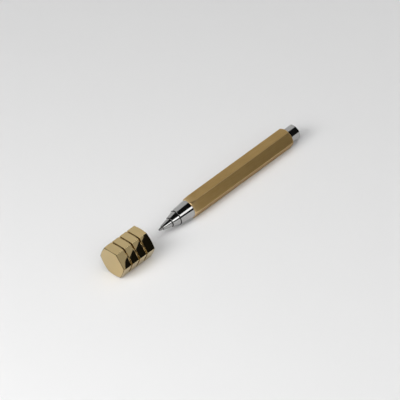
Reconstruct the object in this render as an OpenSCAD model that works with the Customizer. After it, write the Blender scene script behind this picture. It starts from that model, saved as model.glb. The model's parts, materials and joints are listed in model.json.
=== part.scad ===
// Hexagonal brass ballpoint pen with a stepped chrome nose, a push button and a grooved pull-off cap.
// The pen lies on one flat of its barrel. +X runs from the writing tip to the button and +Z is up.
// The origin is the middle of the barrel's lower flat. All sizes are in millimetres.

/* [Barrel] */
// Width of the hexagonal barrel across its flats
barrel_af = 11; // [10.8:0.1:12]
// Length of the barrel
barrel_len = 77; // [76:0.5:80]
// Diameter of the bore through the barrel
barrel_bore_d = 9.4; // [9.3:0.05:9.5]
// Thickness of the wall that closes the rear of the barrel round the button
rear_wall = 2.5; // [2:0.1:3]
// Angle of the long turned cone that trims the corners at the front of the barrel
front_cone_angle = 4; // [3:1:6]
// Angle of the turned cone that cuts the corners at the rear of the barrel
rear_cone_angle = 40; // [30:1:50]

/* [Nose] */
// Distance from the writing tip to the front of the barrel
nose_out = 22.5; // [22:0.1:23]
// Length of the nose cone that shows in front of the barrel
cone_len = 9.1; // [8.8:0.1:9.4]
// Length of the middle sleeve that shows in front of the nose cone
sleeve_len = 4.8; // [4.6:0.1:5]
// Length of the nozzle that shows in front of the sleeve
nozzle_len = 5.9; // [5.6:0.1:6.2]
// Diameter of the nose cone at its front
cone_front_d = 9.1; // [8.9:0.1:9.2]
// Diameter of the nose cone at the barrel
cone_rear_d = 10.9; // [10.7:0.1:11]
// Diameter of the sleeve at its front
sleeve_front_d = 6; // [5.8:0.1:6.2]
// Diameter of the sleeve at the nose cone
sleeve_rear_d = 8.5; // [8.3:0.1:8.7]
// Diameter of the nozzle at its front
nozzle_front_d = 3; // [2.9:0.1:3.2]
// Diameter of the nozzle at the sleeve
nozzle_rear_d = 5.2; // [5:0.1:5.4]
// Width of the turned groove that parts one step of the nose from the next
step_groove = 0.45; // [0.3:0.05:0.6]

/* [Refill] */
// Diameter of the refill tube
refill_d = 2.35; // [2.3:0.01:2.4]
// Length of the refill from its ball to its tail
refill_len = 67; // [66.5:0.1:67.5]
// Diameter of the writing ball
ball_d = 1; // [0.9:0.05:1.1]

/* [Button] */
// Diameter of the push button
button_d = 9; // [8.8:0.1:9.1]
// Length of the button that stands out of the barrel when the tip is out
button_out = 6.5; // [6:0.1:8]
// How far the button and the refill come back when the tip is in
retract = 5; // [4.8:0.1:5.2]
// How far the button goes in past the latch
press_past = 1.2; // [1:0.1:1.3]

/* [Spring] */
// Wire diameter of the return spring
wire_d = 0.4; // [0.3:0.05:0.5]
// Coils of the return spring
spring_coils = 14; // [10:1:16]

/* [Cap] */
// Width of the hexagonal cap across its flats
cap_af = 17.4; // [17:0.1:18]
// Length of the cap
cap_len = 23.5; // [23:0.1:24.5]
// Diameter of the cap's blind bore
cap_bore_d = 10.9; // [10.8:0.05:11.1]
// Thickness of the closed end of the cap
cap_floor = 2.6; // [2.4:0.1:2.7]
// Turned grooves round the cap, set about the middle of its length
cap_grooves = 3; // [2:1:4]
// Distance from one groove to the next
groove_pitch = 5.6; // [5:0.1:6]
// Width of each groove
groove_w = 1; // [0.8:0.1:1.4]
// Radius from the cap's axis to the bottom of a groove
groove_floor_r = 7.9; // [7.4:0.1:8.3]
// Gap between the mouth of the cap, as it lies, and the writing tip
cap_gap = 13.5; // [12:0.1:16]
// Sideways distance from the pen's axis to the cap's axis as it lies
cap_aside = -2.3; // [-3:0.1:3]

/* [Hidden] */
$fn = 96;

eps = 0.01;
fit = 0.02;      // radial room of a piece pressed or screwed into another
running = 0.04;  // radial room of a piece that slides or turns in another
end_play = 0.1;  // room between two pieces that meet end to end
over = 1;        // how far a cutter runs past the face that it cuts
corner_over = 0.2;  // how far the end cones reach past the corners of a bar

// Heights of the two axes above the surface that the pen and the cap lie on
pen_axis_z = barrel_af / 2;
cap_axis_z = cap_af / 2;

// Stations along the pen, measured back from the writing tip
barrel_s = nose_out;
rear_s = barrel_s + barrel_len;
cone_s = barrel_s - cone_len;
sleeve_s = cone_s - sleeve_len;
nozzle_s = sleeve_s - nozzle_len;
button_s = rear_s + button_out;
tip_x = -(nose_out + barrel_len / 2);

// Ends of the barrel: the front cone trims only the corners, and the rear one runs out just below the flats
bore_r = barrel_bore_d / 2;
front_face_over = 0.5;
rear_face_cut = 0.15;
front_face_r = barrel_af / 2 + front_face_over;
rear_face_r = barrel_af / 2 - rear_face_cut;

// Nose: spigots, shoulders and the threaded shank, which is plain here
shank_len = 9;
shank_r = bore_r - fit;
cone_socket_r = 3.4;
sleeve_groove_r = 3.8;
sleeve_spigot_len = 4;
nozzle_spigot_r = 2;
nozzle_groove_r = 2.3;
nozzle_spigot_len = 3.9;
nozzle_flange_r = 2.65;
nozzle_flange_len = 1.2;
chamber_r = 3;
seal_wire_r = 0.4;
seal_setback = 1.5;
seal_s = barrel_s + seal_setback;
seal_room = 0.3;
seal_groove_w = 2 * seal_wire_r + seal_room;
seal_groove_r = shank_r - 2 * seal_wire_r - fit;

// Refill
refill_r = refill_d / 2;
ball_r = ball_d / 2;
socket_r = ball_r + fit;
socket_lip_s = 0.3;
socket_lip_w = 0.06;
point_cone_len = 3;
point_len = 6;
tube_inner_r = 0.85;
point_spigot_len = 4;
ink_channel_r = 0.3;
ink_len = 42;
tail_head_len = 1;
tail_plug_len = 3;
vent_r = 0.25;
guide_room = 0.1;
guide_r = refill_r + guide_room;  // bore of the nozzle and the bush

// Carrier, which grips the rear of the refill and takes the push of the spring
carrier_s = 40;
carrier_flange_r = 2.8;
carrier_flange_len = 1.2;
carrier_r = 2.2;
carrier_end_wall = 1.5;
carrier_end_s = refill_len + carrier_end_wall;
journal_r = 1.2;
journal_len = 3.6;

// Cams. The rotor's lugs rest just in front of the guide's ribs and slide between them.
cam_lugs = 4;
lug_w = 1.3;
lug_r = 3.3;
lug_len = 1.8;
cam_hub_r = 2.4;
lug_setback = 1.05;
lug_play = 0.05;
lug_clear = 1;  // room behind the ribs for the lugs when the tip is in
slot_room = 0.3;
rotor_s = carrier_end_s + end_play;
lug_s = rotor_s + lug_setback;
rib_s = lug_s + lug_len + lug_play;
rib_len = retract - lug_len - lug_clear;
rib_inner_r = 2.65;
rib_root = 0.2;  // how far a rib reaches into the wall of the guide
slot_w = lug_w + slot_room;
crown_teeth = 8;
crown_tooth_h = 0.6;
rotor_past_rib = 1.4;
rotor_end_s = rib_s + rotor_past_rib;
thrust_s = rotor_end_s + end_play;
journal_pocket = 4;
guide_inner_r = 3.5;
guide_outer_r = 4.2;
guide_lead = 2;
guide_s = rotor_s - guide_lead;
cam_keys = 2;
key_w = 1.4;
key_r = 3.95;
key_len = 1.4;
key_clear = 1.3;
key_s = rib_s + rib_len + press_past + key_clear;
key_side_room = 0.15;
keyway_room = 0.5;
keyway_w = key_w + 2 * key_side_room;
keyway_s = key_s - press_past - keyway_room;
keyway_len = press_past + key_len + retract + 2 * keyway_room;
guide_end_wall = 0.8;
guide_end_s = keyway_s + keyway_len + guide_end_wall;
housing_lip = 0.5;
housing_past_guide = 1;
housing_end_s = guide_end_s + housing_past_guide;

// Button, a chromed cup on the stem of the thrust cam
button_r = button_d / 2;
button_wall = 0.85;
button_end = 2.4;
button_in = 11;
button_front_s = rear_s - button_in;
collar_len = 1.2;
collar_seat_depth = 0.35;
collar_seat_r = button_r - collar_seat_depth;
collar_r = bore_r - running;
stem_r = 2.45;
plug_setback = 0.5;
plug_len = 9;
edge = 0.35;  // small turned bevels on the visible ends

// Cap
cap_s = -cap_gap - cap_len;
cap_face_cut = 0.4;
cap_face_r = cap_af / 2 - cap_face_cut;
cap_chamfer_angle = 15;
cap_mouth_bevel = 0.4;
first_groove = (cap_len - groove_pitch * (cap_grooves - 1)) / 2;

// Return spring between the guide bush and the carrier
spring_s = cone_s + sleeve_spigot_len + end_play;
spring_len = carrier_s - spring_s - end_play;
spring_r = 2;
rings_per_coil = 8;
wire_sides = 6;
spring_rings = spring_coils * rings_per_coil;
end_coil_squeeze = 0.45;  // the coils close up towards both ends
spring_travel = spring_len - wire_d - 2 * eps;

// Distance along the spring of its wire's centre, with t from 0 to 1 along the wire
function coil_rise(t) = spring_travel * (t - end_coil_squeeze * sin(360 * t) / (2 * PI));
function coil_point(t) = [
    spring_r * cos(360 * spring_coils * t),
    spring_r * sin(360 * spring_coils * t),
    spring_s + wire_d / 2 + eps + coil_rise(t)
];
// One ring of wire: radial and axial corners about the wire's centre
function wire_ring(t) = [
    for (k = [0 : wire_sides - 1])
        let (turn = 360 * spring_coils * t, corner = 360 * k / wire_sides, c = coil_point(t))
            [c[0] + wire_d / 2 * cos(corner) * cos(turn),
             c[1] + wire_d / 2 * cos(corner) * sin(turn),
             c[2] + wire_d / 2 * sin(corner)]
];
coil_points = [for (i = [0 : spring_rings]) coil_point(i / spring_rings)];
// Least distance between the wire's centres half a coil or more apart, less the wire itself
coil_gap = min([
    for (i = [0 : spring_rings], j = [i + rings_per_coil / 2 : 1 : spring_rings])
        norm(coil_points[i] - coil_points[j])
]) - wire_d;
echo(return_spring_least_gap = coil_gap);

// Places a piece drawn along +Z, from the writing tip back, on the pen's axis
module on_pen() {
    translate([tip_x, 0, pen_axis_z]) rotate([0, 90, 0]) children();
}

// Places a piece drawn along +Z, from the cap's closed end, on the cap's axis as it lies
module on_cap() {
    translate([tip_x + cap_s, cap_aside, cap_axis_z]) rotate([0, 90, 0]) children();
}

// Radius that clears the corners of a hexagonal bar
function clear_r(af) = af / 2 / cos(30) + corner_over;

// Hexagonal bar with one flat down
module hex_bar(af, len) {
    rotate([0, 0, 30]) cylinder(d = af / cos(30), h = len, $fn = 6);
}

// Turned solid from s0 to s1 that cuts the corners of a bar: a face of radius r0 or r1 at each end,
// opening at the given angle from the axis until it clears a bar of radius r
module end_cones(s0, s1, r0, r1, angle0, angle1, r) {
    rotate_extrude()
        polygon([
            [0, s0], [r0, s0], [r, s0 + (r - r0) / tan(angle0)],
            [r, s1 - (r - r1) / tan(angle1)], [r1, s1], [0, s1]
        ]);
}

// Plain tube or rod from s0 to s1
module tube(s0, s1, outer_r, inner_r = 0) {
    translate([0, 0, s0]) difference() {
        cylinder(r = outer_r, h = s1 - s0);
        if (inner_r > 0) translate([0, 0, -over]) cylinder(r = inner_r, h = s1 - s0 + 2 * over);
    }
}

// Bore from s0 to s1
module bore(s0, s1, r) {
    translate([0, 0, s0]) cylinder(r = r, h = s1 - s0);
}

// Radial bars round the axis, from r0 out to r1
module bars(count, width, s0, len, r0, r1) {
    for (i = [0 : count - 1])
        rotate([0, 0, i * 360 / count]) translate([r0, -width / 2, s0]) cube([r1 - r0, width, len]);
}

// V notches that leave crown teeth on an end face at s
module crown_notches(s, turn) {
    side = crown_tooth_h * sqrt(2);
    for (i = [0 : crown_teeth - 1])
        rotate([0, 0, turn + i * 360 / crown_teeth])
            translate([journal_r / 2, 0, s]) rotate([45, 0, 0])
                translate([0, -side / 2, -side / 2]) cube([cam_hub_r, side, side]);
}

// Barrel: hexagonal brass bar, bored from the front, its corners turned off at both ends
module barrel() {
    corner_r = clear_r(barrel_af);
    color("#9a7f4b") on_pen() difference() {
        intersection() {
            translate([0, 0, barrel_s]) hex_bar(barrel_af, barrel_len);
            end_cones(
                barrel_s, rear_s, front_face_r, rear_face_r,
                front_cone_angle, rear_cone_angle, corner_r
            );
        }
        bore(barrel_s - over, rear_s - rear_wall, bore_r);
        bore(rear_s - rear_wall - over, rear_s + over, button_r + running);
    }
}

// Nose cone: the widest step of the nose, with the shank that screws into the barrel
module nose_cone() {
    color("#c9ccd0") on_pen() difference() {
        rotate_extrude()
            polygon([
                [0, cone_s], [cone_front_d / 2 - edge / 2, cone_s], [cone_front_d / 2, cone_s + edge / 2],
                [cone_rear_d / 2, barrel_s], [shank_r, barrel_s],
                [shank_r, seal_s - seal_groove_w / 2], [seal_groove_r, seal_s - seal_groove_w / 2],
                [seal_groove_r, seal_s + seal_groove_w / 2], [shank_r, seal_s + seal_groove_w / 2],
                [shank_r, barrel_s + shank_len], [0, barrel_s + shank_len]
            ]);
        bore(cone_s - over, cone_s + sleeve_spigot_len, cone_socket_r);
        bore(cone_s + sleeve_spigot_len - over, barrel_s + shank_len + over, chamber_r);
    }
}

// Middle sleeve of the nose, with a spigot in the nose cone and a socket for the nozzle
module nose_sleeve() {
    spigot_end_s = cone_s + sleeve_spigot_len - fit;
    color("#d3d6da") on_pen() difference() {
        rotate_extrude()
            polygon([
                [0, sleeve_s], [sleeve_front_d / 2 - edge / 2, sleeve_s],
                [sleeve_front_d / 2, sleeve_s + edge / 2],
                [sleeve_rear_d / 2, cone_s - step_groove], [sleeve_groove_r, cone_s - step_groove],
                [sleeve_groove_r, cone_s], [cone_socket_r - fit, cone_s],
                [cone_socket_r - fit, spigot_end_s], [0, spigot_end_s]
            ]);
        bore(sleeve_s - over, cone_s, nozzle_spigot_r + fit);
        bore(sleeve_s + nozzle_spigot_len, cone_s + sleeve_spigot_len + over, nozzle_flange_r + fit);
    }
}

// Nozzle: the thin end of the nose that the refill slides through
module nozzle() {
    flange_s = sleeve_s + nozzle_spigot_len + fit;
    color("#d3d6da") on_pen() difference() {
        rotate_extrude()
            polygon([
                [0, nozzle_s], [nozzle_front_d / 2, nozzle_s], [nozzle_rear_d / 2, sleeve_s - step_groove],
                [nozzle_groove_r, sleeve_s - step_groove], [nozzle_groove_r, sleeve_s],
                [nozzle_spigot_r, sleeve_s], [nozzle_spigot_r, flange_s], [nozzle_flange_r, flange_s],
                [nozzle_flange_r, flange_s + nozzle_flange_len], [0, flange_s + nozzle_flange_len]
            ]);
        bore(nozzle_s - over, flange_s + nozzle_flange_len + over, guide_r);
    }
}

// Seal ring on the shank, which keeps the nose from working loose
module nose_seal_ring() {
    color("#2b2b2b") on_pen() translate([0, 0, seal_s]) rotate_extrude()
        translate([seal_groove_r + seal_wire_r + fit / 2, 0]) circle(r = seal_wire_r, $fn = 32);
}

// Plastic bush behind the nozzle, which guides the refill and seats the spring
module refill_guide_bush() {
    front_s = sleeve_s + nozzle_spigot_len + nozzle_flange_len + 2 * fit;
    color("#e6e3da") on_pen()
        tube(front_s, cone_s + sleeve_spigot_len, nozzle_flange_r, guide_r);
}

// Tube of the refill, which holds the ink
module refill_tube() {
    color("#b9bcc0") on_pen()
        tube(point_len, refill_len - tail_head_len, refill_r, tube_inner_r);
}

// Metal point of the refill, with the socket that holds the ball
module refill_point() {
    lip_r = socket_r + socket_lip_w;
    color("#b8a06a") on_pen() difference() {
        rotate_extrude()
            polygon([
                [0, socket_lip_s], [lip_r, socket_lip_s], [refill_r, socket_lip_s + point_cone_len],
                [refill_r, point_len], [tube_inner_r - fit, point_len],
                [tube_inner_r - fit, point_len + point_spigot_len], [0, point_len + point_spigot_len]
            ]);
        translate([0, 0, ball_r]) sphere(r = socket_r);
        bore(ball_r, point_len + point_spigot_len + over, ink_channel_r);
    }
}

// Ball that rolls in the socket of the point
module writing_ball() {
    color("#6d7075") on_pen() translate([0, 0, ball_r]) sphere(r = ball_r);
}

// Ink in the tube
module ink_column() {
    ink_s = point_len + point_spigot_len + fit;
    color("#15171f") on_pen() tube(ink_s, ink_s + ink_len, tube_inner_r - fit);
}

// Vented plug in the tail of the refill
module refill_tail_plug() {
    color("#e6e3da") on_pen() difference() {
        union() {
            tube(refill_len - tail_head_len - tail_plug_len, refill_len, tube_inner_r - fit);
            tube(refill_len - tail_head_len, refill_len, refill_r);
        }
        bore(refill_len - tail_head_len - tail_plug_len - over, refill_len + over, vent_r);
    }
}

// Return spring: one unbroken wire whose coils close up towards both ends
module return_spring() {
    rings = spring_rings + 1;
    points = [for (i = [0 : spring_rings], p = wire_ring(i / spring_rings)) p];
    sides = [
        for (i = [0 : rings - 2], k = [0 : wire_sides - 1])
            let (a = i * wire_sides + k, b = i * wire_sides + (k + 1) % wire_sides)
                each [[a, b, b + wire_sides], [a, b + wire_sides, a + wire_sides]]
    ];
    last = (rings - 1) * wire_sides;
    caps = [
        for (k = [1 : wire_sides - 2])
            each [[0, k + 1, k], [last, last + k, last + k + 1]]
    ];
    color("#c4c7cb") on_pen() polyhedron(points = points, faces = concat(sides, caps));
}

// Carrier: sleeve that grips the refill, with a flange for the spring and a journal for the rotor
module refill_carrier() {
    color("#3a3c40") on_pen() difference() {
        union() {
            tube(carrier_s, carrier_s + carrier_flange_len, carrier_flange_r);
            tube(carrier_s, carrier_end_s, carrier_r);
            tube(carrier_s, carrier_end_s + journal_len, journal_r);
        }
        bore(carrier_s - over, refill_len + fit, refill_r + fit);
    }
}

// Brass tube of the push mechanism, fixed in the barrel, with a lip that stops the cam guide
module mechanism_housing() {
    color("#b08d4f") on_pen() difference() {
        tube(guide_s - housing_lip, housing_end_s, bore_r - fit, guide_inner_r);
        bore(guide_s, housing_end_s + over, guide_outer_r + fit);
    }
}

// Cam guide: plastic sleeve with short ribs that the rotor's lugs catch on and keyways for the thrust cam
module cam_guide() {
    color("#e6e3da") on_pen() difference() {
        union() {
            tube(guide_s + eps, guide_end_s, guide_outer_r, guide_inner_r);
            difference() {
                tube(rib_s, rib_s + rib_len, guide_inner_r + rib_root, rib_inner_r);
                bars(cam_lugs, slot_w, rib_s - over, rib_len + 2 * over, 0, guide_inner_r);
            }
        }
        bars(cam_keys, keyway_w, keyway_s, keyway_len, guide_inner_r - over, key_r + end_play);
    }
}

// Rotor cam, which turns a step at each press and latches the refill out or lets it back
module rotor_cam() {
    color("#d8d2c2") on_pen() difference() {
        union() {
            tube(rotor_s, rotor_end_s, cam_hub_r);
            intersection() {
                bars(cam_lugs, lug_w, lug_s, lug_len, 0, lug_r + over);
                tube(lug_s, lug_s + lug_len, lug_r);
            }
        }
        bore(rotor_s - over, rotor_end_s + over, journal_r + running);
        crown_notches(rotor_end_s, 0);
    }
}

// Thrust cam: toothed stem that the button drives, kept from turning by two keys
module thrust_cam() {
    plug_s = button_front_s + plug_setback;
    color("#e6e3da") on_pen() difference() {
        union() {
            tube(thrust_s, plug_s, stem_r);
            tube(plug_s, plug_s + plug_len, button_r - button_wall - fit);
            bars(cam_keys, key_w, key_s, key_len, 0, key_r);
        }
        bore(thrust_s - over, thrust_s + journal_pocket, journal_r + running);
        crown_notches(thrust_s, 180 / crown_teeth);
    }
}

// Push button: chromed cup with a bevelled end and a seat for its collar
module push_button() {
    color("#c9ccd0") on_pen() difference() {
        rotate_extrude()
            polygon([
                [0, button_front_s], [collar_seat_r, button_front_s],
                [collar_seat_r, button_front_s + collar_len], [button_r, button_front_s + collar_len],
                [button_r, button_s - edge], [button_r - edge, button_s], [0, button_s]
            ]);
        bore(button_front_s - over, button_s - button_end, button_r - button_wall);
    }
}

// Collar pressed on the button, which stops against the rear wall of the barrel
module button_collar() {
    color("#a9adb2") on_pen()
        tube(button_front_s, button_front_s + collar_len - eps, collar_r, collar_seat_r + eps);
}

// Cap: hexagonal brass block with turned grooves and a blind bore that slips over the nose
module cap() {
    corner_r = clear_r(cap_af);
    steep = 90 - cap_chamfer_angle;
    color("#c2a566") on_cap() difference() {
        intersection() {
            hex_bar(cap_af, cap_len);
            end_cones(0, cap_len, cap_face_r, cap_face_r, steep, steep, corner_r);
        }
        bore(cap_floor, cap_len + over, cap_bore_d / 2);
        rotate_extrude()
            polygon([
                [0, cap_len - cap_mouth_bevel], [cap_bore_d / 2, cap_len - cap_mouth_bevel],
                [cap_bore_d / 2 + cap_mouth_bevel + eps, cap_len + eps], [0, cap_len + eps]
            ]);
        for (i = [0 : cap_grooves - 1])
            translate([0, 0, first_groove + i * groove_pitch])
                rotate_extrude() groove_section(corner_r);
    }
}

// Half section of a round-bottomed groove, out to radius r
module groove_section(r) {
    centre_r = groove_floor_r + groove_w / 2;
    translate([centre_r, 0]) circle(d = groove_w, $fn = 32);
    translate([centre_r, -groove_w / 2]) square([r + over - centre_r, groove_w]);
}

barrel();
nose_cone();
nose_sleeve();
nozzle();
nose_seal_ring();
refill_guide_bush();
refill_tube();
refill_point();
writing_ball();
ink_column();
refill_tail_plug();
return_spring();
refill_carrier();
mechanism_housing();
cam_guide();
rotor_cam();
thrust_cam();
push_button();
button_collar();
cap();
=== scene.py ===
"""Dresses a hexagonal brass ballpoint pen and its grooved pull-off cap, lying on a pale table.

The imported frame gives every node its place. The pieces that show are made again here as fine skins: a
profile carried round an axis, with eased edges. The pieces inside keep their solids and get their finishes.
"""

import json
import logging
import math
from dataclasses import dataclass
from enum import Enum
from typing import Sequence, Union

import bpy
import numpy as np
from mathutils import Matrix, Quaternion, Vector

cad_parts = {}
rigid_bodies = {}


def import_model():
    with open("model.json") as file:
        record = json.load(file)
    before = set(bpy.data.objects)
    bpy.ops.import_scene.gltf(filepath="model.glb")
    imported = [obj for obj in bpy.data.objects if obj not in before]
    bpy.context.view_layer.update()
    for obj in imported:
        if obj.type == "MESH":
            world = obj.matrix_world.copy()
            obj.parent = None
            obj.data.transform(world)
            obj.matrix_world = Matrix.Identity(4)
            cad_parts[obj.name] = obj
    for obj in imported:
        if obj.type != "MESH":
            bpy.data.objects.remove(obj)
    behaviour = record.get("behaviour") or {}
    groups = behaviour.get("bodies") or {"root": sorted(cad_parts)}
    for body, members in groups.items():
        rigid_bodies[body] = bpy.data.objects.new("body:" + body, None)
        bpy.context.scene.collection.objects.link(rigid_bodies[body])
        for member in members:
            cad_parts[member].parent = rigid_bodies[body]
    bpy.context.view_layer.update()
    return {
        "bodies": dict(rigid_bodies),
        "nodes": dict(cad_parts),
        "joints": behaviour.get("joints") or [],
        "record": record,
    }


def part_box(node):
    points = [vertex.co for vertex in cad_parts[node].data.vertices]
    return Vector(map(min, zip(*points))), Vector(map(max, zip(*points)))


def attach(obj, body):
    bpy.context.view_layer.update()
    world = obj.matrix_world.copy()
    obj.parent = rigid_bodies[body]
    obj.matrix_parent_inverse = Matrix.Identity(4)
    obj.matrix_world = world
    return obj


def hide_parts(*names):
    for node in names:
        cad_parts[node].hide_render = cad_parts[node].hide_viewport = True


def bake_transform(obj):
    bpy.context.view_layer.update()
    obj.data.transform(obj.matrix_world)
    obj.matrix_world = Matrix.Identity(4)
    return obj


LOG = logging.getLogger("pen")
MM = 0.001
TINY = 1e-9
FULL_TURN = 2.0 * math.pi
WHITE = (1.0, 1.0, 1.0, 1.0)
WHOLE = (0.0, 1.0)
# Mesh attributes: worn edges together with painted highlights, and painted shade
EDGE_ATTRIBUTE = "edge"
PAINTED_SHADE_ATTRIBUTE = "grime"
ROUND_UV = "round"

# Sockets of a colour mix node
MIX_FIRST, MIX_SECOND, MIX_RESULT = 6, 7, 2
# Largest share of a side that the curve of its corner takes
EASE_LIMIT = 0.45
# A face that spans more than this share of a skin's layout runs over its seam
SEAM_SPAN = 0.5
# Weight of large faces in the shading, which keeps flats flat
FLAT_WEIGHT = 100
# Shares of its radius at which a shallow dome has points
DOME_SHARES = (0.0, 0.25, 0.5, 0.75, 1.0)
# First and last angle of a half circle that opens away from the axis, in degrees
HALF_ROUND = (180.0, 360.0)

# Octaves of the noise in the finishes, and how strong the finer ones are
GRAIN_DETAIL, CLOUD_DETAIL, TEXTURE_DETAIL = 4.0, 3.0, 2.0
GRAIN_STRENGTH, PLAIN_STRENGTH = 0.6, 0.55
# Spans of that noise over which it darkens, dulls or wears a surface, and breaks up painted highlights
GRAIN_TONE_SPAN, GRAIN_GLOSS_SPAN = (0.35, 0.70), (0.30, 0.70)
STAIN_TONE_SPAN, STAIN_GLOSS_SPAN = (0.40, 0.75), (0.45, 0.80)
WEAR_SPAN, WEAR_SHARE = (0.30, 0.60), (0.35, 1.0)
CLOUD_SPAN, TEXTURE_SPAN = (0.35, 0.65), (0.30, 0.70)
# Roughness that the painted shade adds
PAINTED_SHADE_GLOSS = 0.35

Colour = tuple[float, float, float]
Triple = tuple[float, float, float]
Span = tuple[float, float]
Along = Union[float, np.ndarray]
Socket = bpy.types.NodeSocket
Value = Union[Socket, float, tuple[float, ...]]


class Ends(Enum):
    """How the rows of a skin are closed."""

    LOOP = "the last row runs back into the first"
    POLES = "the first and the last row each shrink to one point on the axis"


class Lights(Enum):
    """What a lamp lights."""

    ALL = "the table and the pen"
    METAL = "the pen's metal alone, which shows it as a mirror does"
    TABLE = "the table alone, so that its shadows are soft"


class Wiring:
    """The nodes of a material or of the world while they are wired."""

    def __init__(self, owner: Union[bpy.types.Material, bpy.types.World]) -> None:
        """Starts on the nodes that the owner comes with."""
        owner.use_nodes = True
        self.nodes = owner.node_tree.nodes
        self.links = owner.node_tree.links

    def put(self, socket: Socket, value: Value) -> None:
        """Gives a socket its value.

        Args:
            socket: the socket.
            value: what it holds all over, or the socket that it is linked to.
        """
        if isinstance(value, Socket):
            self.links.new(value, socket)
        else:
            socket.default_value = value

    def add(
        self, kind: str, inputs: dict[Union[str, int], Value], **settings: Union[str, bool]
    ) -> bpy.types.bpy_prop_collection:
        """Adds one node.

        Args:
            kind: its type, without the prefix that all of them have.
            inputs: values of its sockets, by their names or numbers.
            settings: its own settings.

        Returns:
            The sockets that come out of it.
        """
        node = self.nodes.new(f"ShaderNode{kind}")
        for name, setting in settings.items():
            setattr(node, name, setting)
        for socket, value in inputs.items():
            self.put(node.inputs[socket], value)
        return node.outputs

    def spread(self, value: Socket, span: Span, to: Span) -> Socket:
        """Stretches a span of values over another, and holds what lies beyond it."""
        limits = {"From Min": span[0], "From Max": span[1], "To Min": to[0], "To Max": to[1]}
        return self.add("MapRange", {"Value": value, **limits})["Result"]


class Shader(Wiring):
    """A material while it is wired: most methods add a node or two and hand back what comes out."""

    def __init__(self, name: str) -> None:
        """Starts a material of that name with a plain shader."""
        self.material = bpy.data.materials.new(name)
        super().__init__(self.material)
        self.surface = self.nodes["Principled BSDF"]

    def set(self, socket: str, value: Value) -> None:
        """Gives a socket of the shader its value."""
        self.put(self.surface.inputs[socket], value)

    def place(self) -> Socket:
        """Place on the object, in its own coordinates."""
        return self.add("TexCoord", {})["Object"]

    def reach(self) -> Socket:
        """Distance from the object's own origin, in metres."""
        return self.add("VectorMath", {0: self.place()}, operation="LENGTH")["Value"]

    def noise(self, size_mm: Triple, detail: float, strength: float = PLAIN_STRENGTH) -> Socket:
        """Cloudy noise about 0.5.

        Args:
            size_mm: size of one cloud along x, y and z.
            detail: octaves added to the first.
            strength: how strong the finer octaves are.

        Returns:
            The noise, mostly from 0.25 to 0.75.
        """
        per_metre = tuple(1.0 / (size * MM) for size in size_mm)
        where = self.add("VectorMath", {0: self.place(), 1: per_metre}, operation="MULTIPLY")["Vector"]
        inputs = {"Vector": where, "Scale": 1.0, "Detail": detail, "Roughness": strength}
        return self.add("TexNoise", inputs)["Fac"]

    def combine(self, operation: str, first: Socket, second: Socket) -> Socket:
        """Puts two values together, by ADD or MULTIPLY for example, and holds the result between 0 and 1."""
        return self.add("Math", {0: first, 1: second}, operation=operation, use_clamp=True)["Value"]

    def mix(self, factor: Socket, first: Union[Colour, Socket], second: Colour) -> Socket:
        """Blends two colours, where the factor is the share of the second one."""
        start = first if isinstance(first, Socket) else (*first, 1.0)
        inputs = {"Factor": factor, MIX_FIRST: start, MIX_SECOND: (*second, 1.0)}
        return self.add("Mix", inputs, data_type="RGBA")[MIX_RESULT]

    def attribute(self, name: str) -> Socket:
        """A number stored on the mesh, which is 0 where the mesh has none."""
        return self.add("Attribute", {}, attribute_name=name)["Fac"]

    def brush(self, strength: float) -> None:
        """Spreads the gloss across the strokes, the way that a skin's first UV axis goes."""
        self.set("Anisotropic", strength)
        self.set("Tangent", self.add("Tangent", {}, direction_type="UV_MAP", uv_map=ROUND_UV)["Tangent"])

    def emboss(self, height: Socket, depth_mm: float) -> None:
        """Raises the surface by a height that is a share of the depth, from 0 to 1."""
        self.set("Normal", self.add("Bump", {"Distance": depth_mm * MM, "Height": height})["Normal"])


@dataclass(frozen=True)
class Finish:
    """The look of one slot of the record.

    Attributes:
        name: name of the slot.
    """

    name: str

    def build(self) -> bpy.types.Material:
        """Makes the material the first time that it is asked for.

        Returns:
            The material.
        """
        title = f"{self.name}_finish"
        made = bpy.data.materials.get(title)
        if made is None:
            shader = Shader(title)
            self.wire(shader)
            made = shader.material
        return made

    def wire(self, shader: Shader) -> None:
        """Wires the material, each kind of finish in its own way."""
        raise NotImplementedError


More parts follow.
